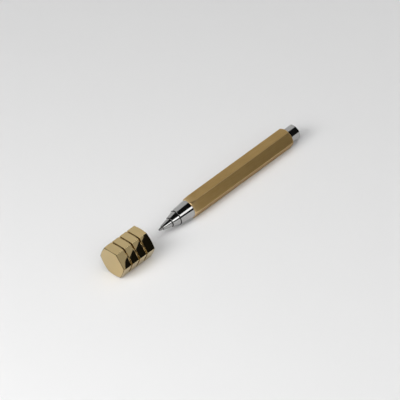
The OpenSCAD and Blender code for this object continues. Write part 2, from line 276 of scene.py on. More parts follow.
@dataclass(frozen=True)
class Metal(Finish):
    """A metal surface: its grain, its stains, its worn edges, and where a skin has them, its painted
    highlights and painted shade.

    Attributes:
        clean, dull: colour of the clean metal, and where grain and stains darken it.
        gloss: roughness on the crests of the grain and in its furrows.
        grain_mm, grain_tone, grain_depth_mm: size of a stroke along x, y and z, its darkening and its depth.
        stain_mm, stain_tone, stain_gloss: size of a stain, its darkening and the roughness that it adds.
        rubbed, shade_colour: colour of edges that use has worn bright and of painted highlights, and colour of
            painted shade, on a skin that has them.
        rubbed_shine: roughness that wear and painted highlights take away.
        brushed: how much wider the gloss is across the grain than along it, from 0 to 1.
    """

    clean: Colour
    dull: Colour
    gloss: Span
    grain_mm: Triple
    grain_tone: float
    grain_depth_mm: float
    stain_mm: float
    stain_tone: float
    stain_gloss: float
    rubbed: Colour = (1.0, 1.0, 1.0)
    shade_colour: Colour = (0.0, 0.0, 0.0)
    rubbed_shine: float = 0.0
    brushed: float = 0.0

    def wire(self, shader: Shader) -> None:
        """Wires the metal: colour and roughness from grain, stains, worn edges with painted highlights, and
        painted shade, and the grain as bumps.

        Args:
            shader: the material.
        """
        shader.set("Metallic", 1.0)
        grain = shader.noise(self.grain_mm, GRAIN_DETAIL, GRAIN_STRENGTH)
        stain = shader.noise((self.stain_mm,) * 3, CLOUD_DETAIL)
        grain_tone = shader.spread(grain, GRAIN_TONE_SPAN, (0.0, self.grain_tone))
        stain_tone = shader.spread(stain, STAIN_TONE_SPAN, (0.0, self.stain_tone))
        toned = shader.mix(shader.combine("ADD", grain_tone, stain_tone), self.clean, self.dull)
        patchy = shader.spread(stain, WEAR_SPAN, WEAR_SHARE)
        # Worn edges and painted highlights share one mask and take the lighter colour; the painted shade mask
        # darkens towards the shade colour and adds roughness
        worn_and_highlit = shader.combine("MULTIPLY", shader.attribute(EDGE_ATTRIBUTE), patchy)
        grime = shader.attribute(PAINTED_SHADE_ATTRIBUTE)
        shader.set("Base Color", shader.mix(grime, shader.mix(worn_and_highlit, toned, self.rubbed), self.shade_colour))
        grain_gloss = shader.spread(grain, GRAIN_GLOSS_SPAN, self.gloss)
        stain_gloss = shader.spread(stain, STAIN_GLOSS_SPAN, (0.0, self.stain_gloss))
        dulled = shader.combine("ADD", grain_gloss, stain_gloss)
        shone = shader.combine("SUBTRACT", dulled, shader.spread(worn_and_highlit, WHOLE, (0.0, self.rubbed_shine)))
        shader.set("Roughness", shader.combine("ADD", shone, shader.spread(grime, WHOLE, (0.0, PAINTED_SHADE_GLOSS))))
        shader.emboss(grain, self.grain_depth_mm)
        if self.brushed > 0.0:
            shader.brush(self.brushed)


@dataclass(frozen=True)
class Moulding(Finish):
    """A moulded or poured surface that isn't metal, such as plastic, rubber or ink.

    Attributes:
        light, deep: colours of its paler and of its darker clouds.
        gloss: least and greatest roughness.
        cloud_mm: size of a cloud.
        texture_mm, texture_depth_mm: size and height of one bump of the mould's texture.
    """

    light: Colour
    deep: Colour
    gloss: Span
    cloud_mm: float
    texture_mm: float
    texture_depth_mm: float

    def wire(self, shader: Shader) -> None:
        """Wires the moulding: colour from its clouds, roughness and bumps from its texture.

        Args:
            shader: the material.
        """
        cloud = shader.noise((self.cloud_mm,) * 3, CLOUD_DETAIL)
        texture = shader.noise((self.texture_mm,) * 3, TEXTURE_DETAIL)
        shader.set("Base Color", shader.mix(shader.spread(cloud, CLOUD_SPAN, WHOLE), self.light, self.deep))
        shader.set("Roughness", shader.spread(texture, TEXTURE_SPAN, self.gloss))
        shader.emboss(texture, self.texture_depth_mm)


# Barrel: its colour for worn edges also paints the highlight on the barrel's front
SATIN_BRASS = Metal(
    name="satin_brass", clean=(0.508, 0.340, 0.133), dull=(0.385, 0.243, 0.083),
    rubbed=(0.72, 0.54, 0.30), shade_colour=(0.10, 0.065, 0.03),
    gloss=(0.36, 0.46), grain_mm=(9.0, 0.16, 0.16), grain_tone=0.45, grain_depth_mm=0.002,
    stain_mm=9.0, stain_tone=0.25, stain_gloss=0.05, rubbed_shine=0.05, brushed=0.4,
)
# Cap: its near-black shade colour paints shade into the grooves and along the closed end's edge
POLISHED_BRASS = Metal(
    name="polished_brass", clean=(0.615, 0.475, 0.245), dull=(0.54, 0.405, 0.185),
    rubbed=(0.76, 0.61, 0.33), shade_colour=(0.06, 0.035, 0.012),
    gloss=(0.03, 0.055), grain_mm=(0.12, 25.0, 25.0), grain_tone=0.15, grain_depth_mm=0.0002,
    stain_mm=6.0, stain_tone=0.25, stain_gloss=0.015,
)
# Nose and button: its near-black shade colour paints shade into the nose's grooves and steps
BRIGHT_CHROME = Metal(
    name="bright_chrome", clean=(0.46, 0.456, 0.45), dull=(0.38, 0.376, 0.37),
    rubbed=(0.60, 0.595, 0.585), shade_colour=(0.03, 0.03, 0.03),
    gloss=(0.05, 0.09), grain_mm=(0.10, 30.0, 30.0), grain_tone=0.12, grain_depth_mm=0.0003,
    stain_mm=4.0, stain_tone=0.15, stain_gloss=0.04,
)
HOUSING_BRASS = Metal(
    name="housing_brass", clean=(0.66, 0.50, 0.24), dull=(0.48, 0.34, 0.15),
    gloss=(0.22, 0.36), grain_mm=(0.15, 20.0, 20.0), grain_tone=0.35, grain_depth_mm=0.003,
    stain_mm=5.0, stain_tone=0.3, stain_gloss=0.08,
)
SPRING_STEEL = Metal(
    name="spring_steel", clean=(0.62, 0.63, 0.65), dull=(0.42, 0.42, 0.43),
    gloss=(0.18, 0.32), grain_mm=(0.6, 0.6, 0.6), grain_tone=0.4, grain_depth_mm=0.002,
    stain_mm=3.0, stain_tone=0.25, stain_gloss=0.06,
)
REFILL_STEEL = Metal(
    name="refill_steel", clean=(0.60, 0.60, 0.60), dull=(0.45, 0.45, 0.44),
    gloss=(0.22, 0.34), grain_mm=(12.0, 0.08, 0.08), grain_tone=0.4, grain_depth_mm=0.002,
    stain_mm=6.0, stain_tone=0.2, stain_gloss=0.05,
)
POINT_METAL = Metal(
    name="point_metal", clean=(0.26, 0.255, 0.25), dull=(0.16, 0.155, 0.15),
    rubbed=(0.44, 0.43, 0.41), shade_colour=(0.06, 0.06, 0.06),
    gloss=(0.12, 0.20), grain_mm=(0.06, 20.0, 20.0), grain_tone=0.4, grain_depth_mm=0.001,
    stain_mm=1.2, stain_tone=0.3, stain_gloss=0.08,
)
BALL_CARBIDE = Metal(
    name="ball_carbide", clean=(0.30, 0.30, 0.32), dull=(0.18, 0.18, 0.20),
    gloss=(0.25, 0.40), grain_mm=(0.05, 0.05, 0.05), grain_tone=0.5, grain_depth_mm=0.001,
    stain_mm=0.4, stain_tone=0.4, stain_gloss=0.1,
)
INK = Moulding(
    name="ink", light=(0.02, 0.02, 0.05), deep=(0.01, 0.01, 0.03),
    gloss=(0.18, 0.30), cloud_mm=2.0, texture_mm=0.5, texture_depth_mm=0.002,
)
CAM_PLASTIC = Moulding(
    name="cam_plastic", light=(0.85, 0.84, 0.80), deep=(0.78, 0.77, 0.72),
    gloss=(0.42, 0.55), cloud_mm=3.0, texture_mm=0.15, texture_depth_mm=0.004,
)
CARRIER_PLASTIC = Moulding(
    name="carrier_plastic", light=(0.07, 0.07, 0.08), deep=(0.05, 0.05, 0.06),
    gloss=(0.40, 0.52), cloud_mm=3.0, texture_mm=0.15, texture_depth_mm=0.004,
)
SEAL_RUBBER = Moulding(
    name="seal_rubber", light=(0.035, 0.035, 0.035), deep=(0.025, 0.025, 0.025),
    gloss=(0.60, 0.75), cloud_mm=1.5, texture_mm=0.08, texture_depth_mm=0.004,
)

FINISH_OF_SLOT: dict[str, Finish] = {
    finish.name: finish
    for finish in (
        SATIN_BRASS, POLISHED_BRASS, BRIGHT_CHROME, HOUSING_BRASS, SPRING_STEEL, REFILL_STEEL,
        POINT_METAL, BALL_CARBIDE, INK, CAM_PLASTIC, CARRIER_PLASTIC, SEAL_RUBBER,
    )
}


@dataclass(frozen=True)
class Axis:
    """Line along +X that a piece is turned on, in millimetres.

    Attributes:
        x: where the distance along the line is 0.
        y: sideways place of the line.
        z: height of the line.
    """

    x: float
    y: float
    z: float

    def place(self, along: np.ndarray, radius: np.ndarray, angle: np.ndarray) -> np.ndarray:
        """Carries points round the line.

        x grows along the line, y is the radius times the cosine and z is the radius times the sine.

        Args:
            along: distance along the line.
            radius: distance from it.
            angle: angle about it, from +Y towards +Z.

        Returns:
            Points in metres, with x, y and z in the last dimension.
        """
        y, z = self.y + radius * np.cos(angle), self.z + radius * np.sin(angle)
        return MM * np.stack(np.broadcast_arrays(self.x + along, y, z), axis=-1)


@dataclass(frozen=True)
class Section:
    """Cross-section that a profile is carried round: one column for each angle.

    Attributes:
        angle: angle of each column.
        radius: radius of the section there, in millimetres.
        swell: how far from the middle of its flat each column lies, from 0 to 1.
        edge: how much the column lies on an eased corner, from 0 to 1.
    """

    angle: np.ndarray
    radius: np.ndarray
    swell: np.ndarray
    edge: np.ndarray

    def even(self) -> np.ndarray:
        """As many columns at equal angles, lined up with the section's own."""
        steps = np.linspace(0.0, FULL_TURN, len(self.angle), endpoint=False)
        return steps + np.mean(self.angle - steps)

    @staticmethod
    def round(columns: int = 128) -> "Section":
        """A circle of radius 1, for turned pieces, whose profile gives the radius."""
        angle = np.linspace(0.0, FULL_TURN, columns, endpoint=False)
        return Section(angle, np.ones(columns), np.zeros(columns), np.zeros(columns))

    @staticmethod
    def hexagon(across: float, corner_round: float, per_flat: int = 12, per_corner: int = 8) -> "Section":
        """A hexagon with one flat down and rounded corners.

        With t the angle from the middle of a flat, the radius on the flat is half the width over cos t. Past
        the point where the corner's circle begins, it is the far side of that circle,
        d cos c + sqrt(r^2 - d^2 sin^2 c), with c the angle from the corner, r the circle's radius and d the
        distance of its centre.

        Args:
            across: width across the flats, in millimetres.
            corner_round: radius of the corners, in millimetres.
            per_flat: columns on each flat.
            per_corner: columns on each corner.

        Returns:
            The section, as 6 times (per_flat + per_corner) columns.
        """
        half = across / 2.0
        sixth = math.pi / 3.0
        centre = (half - corner_round) / math.cos(sixth / 2.0)
        meet = math.atan((half - corner_round) * math.tan(sixth / 2.0) / half)
        flat = np.arctan(np.linspace(-math.tan(meet), math.tan(meet), per_flat))
        corner = np.linspace(meet, sixth - meet, per_corner + 2)[1:-1]
        turn = np.concatenate([flat, corner])
        from_corner = np.abs(turn) - sixth / 2.0
        on_corner = np.abs(turn) > meet + TINY
        reach = np.sqrt(np.maximum(corner_round**2 - (centre * np.sin(from_corner)) ** 2, 0.0))
        radius = np.where(on_corner, centre * np.cos(from_corner) + reach, half / np.cos(turn))
        from_flat = np.where(turn > sixth / 2.0, sixth - turn, turn)
        swell = np.minimum(np.abs(np.tan(from_flat)) / math.tan(meet), 1.0)
        middles = math.pi / 2.0 + sixth * np.arange(6)
        angle = (middles[:, None] + turn).ravel()
        return Section(angle, np.tile(radius, 6), np.tile(swell, 6), np.tile(on_corner.astype(float), 6))


@dataclass(frozen=True)
class Corner:
    """One corner of an outline.

    Attributes:
        place: distance along the axis and radius in each column, in millimetres.
        ease: how far before and after the corner its curve begins; 0 leaves it as it is.
        grime: how much painted shade the corner carries, from 0 to 1.
        rub: how much painted highlight the corner carries, in the colour of worn edges, from 0 to 1.
        even: whether its columns go round at equal angles, which suits a bore.
    """

    place: np.ndarray
    ease: float = 0.0
    grime: float = 0.0
    rub: float = 0.0
    even: bool = False


class Profile:
    """Outline carried round an axis, as corners from first to last, with the solid on its right-hand side.

    Each corner is a distance along the axis and a radius. Either may differ from column to column, so an
    outline can follow a hexagon on one stretch and a turned cone on the next.
    """

    def __init__(self, section: Section) -> None:
        """Starts an empty outline, which is carried round the columns of a section."""
        self.section = section
        self.corners: list[Corner] = []

    def to(self, along: Along, radius: Along, ease: float = 0.0, **marks: float) -> "Profile":
        """Adds one corner.

        Args:
            along: distance along the axis, in millimetres.
            radius: distance from the axis, in millimetres.
            ease: ease of the corner.
            marks: its painted shade and painted highlight, and whether it is even.

        Returns:
            The outline itself.
        """
        zero = np.zeros_like(self.section.angle)
        self.corners.append(Corner(np.stack([along + zero, radius + zero], axis=-1), ease, **marks))
        return self

    def arc(
        self, along: float, radius: float, bend: float, turns: Span, steps: int, grime: float = 0.0
    ) -> "Profile":
        """Adds points on a circle.

        Args:
            along: place of its centre along the axis.
            radius: distance of its centre from the axis.
            bend: radius of the circle.
            turns: first and last angle in degrees, from along the axis towards larger radii.
            steps: number of points.
            grime: how much painted shade they carry, from 0 to 1.

        Returns:
            The outline itself.
        """
        for turn in np.radians(np.linspace(*turns, steps)):
            self.to(along + bend * math.cos(turn), radius + bend * math.sin(turn), grime=grime)
        return self

    def rows(self, closed: bool, steps: int = 5) -> tuple[np.ndarray, np.ndarray, np.ndarray, np.ndarray]:
        """Eases the corners.

        A corner P with neighbours A and B becomes the curve (1-u)^2 Q + 2u(1-u) P + u^2 R for u from 0 to 1,
        where Q and R lie back from P towards A and B by its ease, within EASE_LIMIT of the way.

        Args:
            closed: whether the last corner runs back into the first.
            steps: points on each curve.

        Returns:
            The rows as (row, column, 2), and for each row how much it lies on an eased corner together with
            its painted highlight, its painted shade and whether its columns go round at equal angles.
        """
        places = np.stack([corner.place for corner in self.corners])
        before, after = np.roll(places, 1, axis=0), np.roll(places, -1, axis=0)
        open_ends = () if closed else (0, len(places) - 1)
        rows: list[np.ndarray] = []
        edges: list[np.ndarray] = []
        u = np.linspace(0.0, 1.0, steps)[:, None, None]
        for i, corner in enumerate(self.corners):
            if corner.ease <= 0.0 or i in open_ends:
                rows.append(corner.place[None])
                edges.append(np.array([corner.rub]))
                continue
            back, ahead = before[i] - corner.place, after[i] - corner.place
            back_len = np.linalg.norm(back, axis=-1, keepdims=True)
            ahead_len = np.linalg.norm(ahead, axis=-1, keepdims=True)
            reach = np.minimum(corner.ease, EASE_LIMIT * np.minimum(back_len, ahead_len))
            first = corner.place + back * reach / np.maximum(back_len, TINY)
            final = corner.place + ahead * reach / np.maximum(ahead_len, TINY)
            rows.append((1.0 - u) ** 2 * first + 2.0 * u * (1.0 - u) * corner.place + u**2 * final)
            edges.append(np.maximum(corner.rub, np.sin(math.pi * u.ravel())))
        counts = [len(row) for row in rows]
        grimes = np.repeat([corner.grime for corner in self.corners], counts)
        evens = np.repeat([corner.even for corner in self.corners], counts)
        return np.concatenate(rows), np.concatenate(edges), grimes, evens

    def skin(self, axis: Axis, ends: Ends) -> "Skin":
        """Carries the outline round an axis.

        The section's corners count as edges only as far as a row follows the section: by the spread of the
        row's radii over the spread of the section's, so a turned row has none.

        Args:
            axis: the axis.
            ends: how the rows are closed.

        Returns:
            The closed skin.
        """
        rows, row_edge, row_grime, row_even = self.rows(closed=ends is Ends.LOOP)
        angle = np.where(row_even[:, None], self.section.even(), self.section.angle)
        points = axis.place(rows[..., 0], rows[..., 1], angle)
        follows = np.ptp(rows[..., 1], axis=1) / max(float(np.ptp(self.section.radius)), TINY)
        edge = np.maximum(row_edge[:, None], self.section.edge * np.minimum(follows, 1.0)[:, None])
        grime = row_grime[:, None] + np.zeros_like(edge)
        return Skin(points, edge, grime, ends)


@dataclass
class Skin:
    """Closed surface on a grid, whose columns go round an axis.

    Attributes:
        points: places as (row, column, 3), in metres.
        edge: how much each point lies on an eased edge together with its painted highlight, as (row, column).
        grime: how much painted shade each point carries, as (row, column).
        ends: how the rows are closed.
    """

    points: np.ndarray
    edge: np.ndarray
    grime: np.ndarray
    ends: Ends

    def faces(self) -> list[list[int]]:
        """Squares between the rows, and a fan of triangles at each pole.

        Returns:
            The corner numbers of each face.
        """
        rows, columns = self.points.shape[:2]
        numbers = np.arange(rows * columns).reshape(rows, columns)
        if self.ends is Ends.POLES:
            numbers = numbers[1:-1] - columns + 1
        around = np.roll(numbers, -1, axis=1)
        if self.ends is Ends.LOOP:
            ahead, ahead_around = np.roll(numbers, -1, axis=0), np.roll(around, -1, axis=0)
            return np.stack([numbers, around, ahead_around, ahead], axis=-1).reshape(-1, 4).tolist()
        squares = np.stack([numbers[:-1], around[:-1], around[1:], numbers[1:]], axis=-1).reshape(-1, 4)
        first, final = np.zeros(columns, int), np.full(columns, numbers.max() + 1)
        front = np.stack([first, around[0], numbers[0]], axis=-1)
        rear = np.stack([final, numbers[-1], around[-1]], axis=-1)
        return squares.tolist() + front.tolist() + rear.tolist()

    def shared(self, grid: np.ndarray) -> np.ndarray:
        """Takes one value for each vertex: a pole keeps only the first column of its row.

        Args:
            grid: values as (row, column), with or without a last dimension.

        Returns:
            The values in the order of the vertices.
        """
        flat = (-1, *grid.shape[2:])
        if self.ends is Ends.LOOP:
            return grid.reshape(flat)
        return np.concatenate([grid[0, :1], grid[1:-1].reshape(flat), grid[-1, :1]])

    def unroll(self, mesh: bpy.types.Mesh) -> None:
        """Lays the skin out flat: u goes round with the columns and v along with the rows, both from 0 to 1.

        Corners past the last column or row get 1 and not 0 there, so no face spans the whole layout.

        Args:
            mesh: the skin's mesh.
        """
        rows, columns = self.points.shape[:2]
        v, u = np.meshgrid(np.arange(rows) / rows, np.arange(columns) / columns, indexing="ij")
        spots = self.shared(np.stack([u, v], axis=-1))
        corner = np.empty(len(mesh.loops), np.int32)
        mesh.loops.foreach_get("vertex_index", corner)
        start = np.empty(len(mesh.polygons), np.int32)
        mesh.polygons.foreach_get("loop_start", start)
        face = np.repeat(np.arange(len(start)), np.diff(np.append(start, len(corner))))
        laid = spots[corner]
        laid += np.maximum.reduceat(laid, start)[face] - laid > SEAM_SPAN
        mesh.uv_layers.new(name=ROUND_UV).data.foreach_set("uv", laid.astype(np.float32).ravel())

    def object(self, name: str) -> bpy.types.Object:
        """Makes the mesh object, shaded smooth with its flats kept flat.

        Args:
            name: name of the object.

        Returns:
            The object, linked to the scene at the origin.
        """
        mesh = bpy.data.meshes.new(name)
        mesh.from_pydata(self.shared(self.points).tolist(), [], self.faces())
        mesh.shade_smooth()
        for attribute, grid in ((EDGE_ATTRIBUTE, self.edge), (PAINTED_SHADE_ATTRIBUTE, self.grime)):
            stored = mesh.attributes.new(attribute, "FLOAT", "POINT")
            stored.data.foreach_set("value", self.shared(grid).astype(np.float32))
        self.unroll(mesh)
        mesh.validate()
        made = bpy.data.objects.new(name, mesh)
        bpy.context.scene.collection.objects.link(made)
        flats = made.modifiers.new("flats", "WEIGHTED_NORMAL")
        flats.mode = "FACE_AREA"
        flats.weight = FLAT_WEIGHT
        return made


def box_mm(node: str) -> tuple[np.ndarray, np.ndarray]:
    """Lowest and highest corner of a node, in millimetres."""
    low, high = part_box(node)
    return np.array(low) / MM, np.array(high) / MM


def axis_of(node: str, start: float = 0.0) -> Axis:
    """The axis that a turned or hexagonal node lies on, with distances counted from x = start."""
    low, high = box_mm(node)
    return Axis(float(start), float(low[1] + high[1]) / 2.0, float(low[2] + high[2]) / 2.0)


def fit_piece(name: str, skin: Skin, finish: Finish, body: str, node: str) -> None:
    """Puts a skin in place of a node.

    Args:
        name: name of the new piece.
        skin: its surface.
        finish: its finish, which has the name of the record's slot.
        body: body that it moves with.
        node: node that it stands for.
    """
    piece = skin.object(name)
    piece.data.materials.append(finish.build())
    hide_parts(node)
    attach(piece, body)
    LOG.info("%s stands for %s on %s, %d faces", name, node, body, len(piece.data.polygons))


@dataclass
class Barrel:
    """Hexagonal brass barrel, with its corners turned off at both ends.

    Attributes:
        corner_round: radius of the long edges, in millimetres, as are the other lengths.
        front_cone_deg, rear_cone_deg: angles of the cones at the front and at the rear, from the axis.
        front_over: how far the front cone's small end reaches past the flats.
        rear_cut: how far the rear face lies below the flats.
        bore_r, button_hole_r: radii of the bore and of the hole in the rear wall.
        rear_wall: thickness of that wall.
        crease: ease of the lines where the cones meet the flats.
        bevel: width of the turned bevel round the front face.
        rim: ease of the rear face's edges.
        front_rub, rub_fade: strength of the painted highlight on the flats' front ends, and the length that it
            fades over.
    """

    corner_round: float = 0.22
    front_cone_deg: float = 4.0
    rear_cone_deg: float = 40.0
    front_over: float = 0.5
    rear_cut: float = 0.15
    bore_r: float = 4.7
    button_hole_r: float = 4.54
    rear_wall: float = 2.5
    crease: float = 0.25
    bevel: float = 0.5
    rim: float = 0.15
    front_rub: float = 0.4
    rub_fade: float = 4.0

    def build(self) -> None:
        """Makes the barrel: out along the hexagon from front to rear, then back along the bore."""
        low, high = box_mm("barrel")
        section = Section.hexagon(high[2] - low[2], self.corner_round)
        flat = (high[2] - low[2]) / 2.0
        front_r, rear_r = flat + self.front_over, flat - self.rear_cut
        slope = math.tan(math.radians(self.front_cone_deg))
        bevel_x = low[0] + self.bevel
        bevel_r = np.minimum(section.radius, front_r + self.bevel * slope)
        front_crease = np.maximum(low[0] + (section.radius - front_r) / slope, bevel_x + self.bevel)
        rear_crease = high[0] - (section.radius - rear_r) / math.tan(math.radians(self.rear_cone_deg))
        wall = high[0] - self.rear_wall
        outline = (
            Profile(section)
            .to(low[0], self.bore_r)
            # Painted highlight: the bevel round the front face and the turned corners behind it take the
            # colour of worn edges, fading out along the flats
            .to(low[0], bevel_r - self.bevel, rub=1.0)
            .to(bevel_x, bevel_r, rub=1.0)
            .to(front_crease, section.radius, self.crease, rub=self.front_rub)
            .to(front_crease + self.rub_fade, section.radius)
            .to(rear_crease, section.radius, self.crease)
            .to(high[0], rear_r, self.rim)
            .to(high[0], self.button_hole_r, self.rim)
            .to(wall, self.button_hole_r)
            .to(wall, self.bore_r)
        )
        skin = outline.skin(axis_of("barrel"), Ends.LOOP)
        fit_piece("brass_barrel", skin, SATIN_BRASS, "pen_body", "barrel")


@dataclass
class Nose:
    """Stepped chrome nose: a cone, a sleeve and a nozzle, each parted from the next by a thin groove.

    Attributes:
        cone_front_r, cone_socket_r, cone_shank_r: radii of the cone at its front, of its bore and of its
            shank inside the barrel, in millimetres, as are the other lengths.
        sleeve_front_r, sleeve_socket_r, sleeve_groove_r: radii of the sleeve at its front, of its bore and at
            the bottom of the groove behind it.
        nozzle_front_r, nozzle_rear_r, nozzle_groove_r: radii of the nozzle at its front and rear, and at the
            bottom of the groove behind it.
        nozzle_bore_r: radius of the bore that the refill slides in.
        groove: width of the grooves.
        rim, fine_rim: ease of the turned edges, and of the thin ones.
        press: room between a spigot and its socket.
    """

    cone_front_r: float = 4.55
    cone_socket_r: float = 3.4
    cone_shank_r: float = 4.68
    sleeve_front_r: float = 3.0
    sleeve_socket_r: float = 2.02
    sleeve_groove_r: float = 3.8
    nozzle_front_r: float = 1.5
    nozzle_rear_r: float = 2.6
    nozzle_groove_r: float = 2.3
    nozzle_bore_r: float = 1.275
    groove: float = 0.45
    rim: float = 0.12
    fine_rim: float = 0.06
    press: float = 0.02

    def build(self) -> None:
        """Makes the three steps."""
        axis = axis_of("nose_cone")
        barrel_x = box_mm("barrel")[0][0]
        cone_low, cone_high = box_mm("nose_cone")
        sleeve_low, sleeve_high = box_mm("nose_sleeve")
        nozzle_low, nozzle_high = box_mm("nozzle")
        cone_rear_r = (cone_high[2] - cone_low[2]) / 2.0
        sleeve_rear_r = (sleeve_high[2] - sleeve_low[2]) / 2.0
        # Painted shade: the inner part of each step's front face and the floor of each groove between steps
        # take the near-black shade colour
        cone = (
            Profile(Section.round())
            .to(cone_low[0], self.cone_socket_r, grime=1.0)
            .to(cone_low[0], self.cone_front_r - self.rim, grime=1.0)
            .to(cone_low[0], self.cone_front_r, self.rim)
            .to(barrel_x, cone_rear_r, self.fine_rim)
            .to(barrel_x, self.cone_shank_r)
            .to(cone_high[0], self.cone_shank_r, self.rim)
            .to(cone_high[0], self.cone_socket_r)
        )
        groove_x = cone_low[0] - self.groove
        sleeve = (
            Profile(Section.round())
            .to(sleeve_low[0], self.sleeve_socket_r, grime=1.0)
            .to(sleeve_low[0], self.sleeve_front_r - self.rim, grime=1.0)
            .to(sleeve_low[0], self.sleeve_front_r, self.rim)
            .to(groove_x, sleeve_rear_r, self.rim)
            # Painted shade on the groove's floor
            .to(groove_x, self.sleeve_groove_r, grime=1.0)
            .to(cone_low[0], self.sleeve_groove_r, grime=1.0)
            .to(cone_low[0], self.cone_socket_r - self.press)
            .to(sleeve_high[0], self.cone_socket_r - self.press)
            .to(sleeve_high[0], self.sleeve_socket_r)
        )
        groove_x = sleeve_low[0] - self.groove
        nozzle = (
            Profile(Section.round())
            .to(nozzle_low[0], self.nozzle_bore_r, self.fine_rim)
            .to(nozzle_low[0], self.nozzle_front_r, self.fine_rim)
            .to(groove_x, self.nozzle_rear_r, self.rim)
            # Painted shade on the groove's floor
            .to(groove_x, self.nozzle_groove_r, grime=1.0)
            .to(sleeve_low[0], self.nozzle_groove_r, grime=1.0)
            .to(sleeve_low[0], self.sleeve_socket_r - self.press)
            .to(nozzle_high[0], self.sleeve_socket_r - self.press)
            .to(nozzle_high[0], self.nozzle_bore_r)
        )
        for node, outline in (("nose_cone", cone), ("nose_sleeve", sleeve), ("nozzle", nozzle)):
            fit_piece(f"chrome_{node}", outline.skin(axis, Ends.LOOP), BRIGHT_CHROME, "pen_body", node)


@dataclass
class Point:
    """Metal point of the refill, with the lip that holds the ball.

    Attributes:
        lip_r: outer radius of the lip, in millimetres, as are the other lengths.
        cone_len: length of the cone behind the lip.
        spigot_len, spigot_r: length and radius of the spigot in the tube.
        channel_r: radius of the ink channel.
        socket_room: room between the ball and its socket.
        rim, lip_rim: ease of the turned edges, and of the lip's.
        columns, socket_steps: places round the point, and along the socket's curve.
    """

    lip_r: float = 0.58
    cone_len: float = 3.0
    spigot_len: float = 4.0
    spigot_r: float = 0.83
    channel_r: float = 0.3
    socket_room: float = 0.02
    rim: float = 0.06
    lip_rim: float = 0.03
    columns: int = 96
    socket_steps: int = 12

    def build(self) -> None:
        """Makes the point: out along the cone from the lip, and back along the channel to the socket."""
        low, high = box_mm("refill_point")
        ball_low, ball_high = box_mm("writing_ball")
        body_r = (high[2] - low[2]) / 2.0
        ball_x = (ball_low[0] + ball_high[0]) / 2.0
        socket_r = (ball_high[0] - ball_low[0]) / 2.0 + self.socket_room
        lip_turn = math.degrees(math.acos((low[0] - ball_x) / socket_r))
        channel_turn = math.degrees(math.asin(self.channel_r / socket_r))
        spigot_x = high[0] - self.spigot_len
        outline = (
            Profile(Section.round(self.columns))
            .to(low[0], self.lip_r, self.lip_rim)
            .to(low[0] + self.cone_len, body_r, self.rim)
            .to(spigot_x, body_r, self.rim)
            .to(spigot_x, self.spigot_r)
            .to(high[0], self.spigot_r, self.rim)
            .to(high[0], self.channel_r)
            .arc(ball_x, 0.0, socket_r, (channel_turn, lip_turn), self.socket_steps)
        )
        skin = outline.skin(axis_of("refill_point"), Ends.LOOP)
        fit_piece("turned_refill_point", skin, POINT_METAL, "refill_unit", "refill_point")


@dataclass
class Button:
    """Chrome push button: a cup with a rounded end.

    Attributes:
        end_bevel: ease of the end's edge, in millimetres, as are the other lengths.
        end_dome: how far the middle of the end stands out beyond its edge.
        cup_r: inner radius of the cup.
        end_wall: thickness of the end.
        seat_len, seat_r: length and radius of the seat for the collar.
    """

    end_bevel: float = 0.22
    end_dome: float = 0.12
    cup_r: float = 3.65
    end_wall: float = 2.4
    seat_len: float = 1.2
    seat_r: float = 4.15

    def build(self) -> None:
        """Makes the cup: from the middle of its floor along the inside, round the mouth and back outside."""
        low, high = box_mm("push_button")
        outer_r = (high[2] - low[2]) / 2.0
        outline = (
            Profile(Section.round())
            .to(high[0] - self.end_wall, 0.0)
            .to(high[0] - self.end_wall, self.cup_r)
            .to(low[0], self.cup_r)
            .to(low[0], self.seat_r)
            .to(low[0] + self.seat_len, self.seat_r)
            .to(low[0] + self.seat_len, outer_r, self.end_bevel / 3.0)
            .to(high[0] - self.end_dome, outer_r, self.end_bevel)
        )
        for share in reversed(DOME_SHARES[:-1]):
            outline.to(high[0] - self.end_dome * share**2, outer_r * share)
        skin = outline.skin(axis_of("push_button"), Ends.POLES)
        fit_piece("chrome_push_button", skin, BRIGHT_CHROME, "button_unit", "push_button")


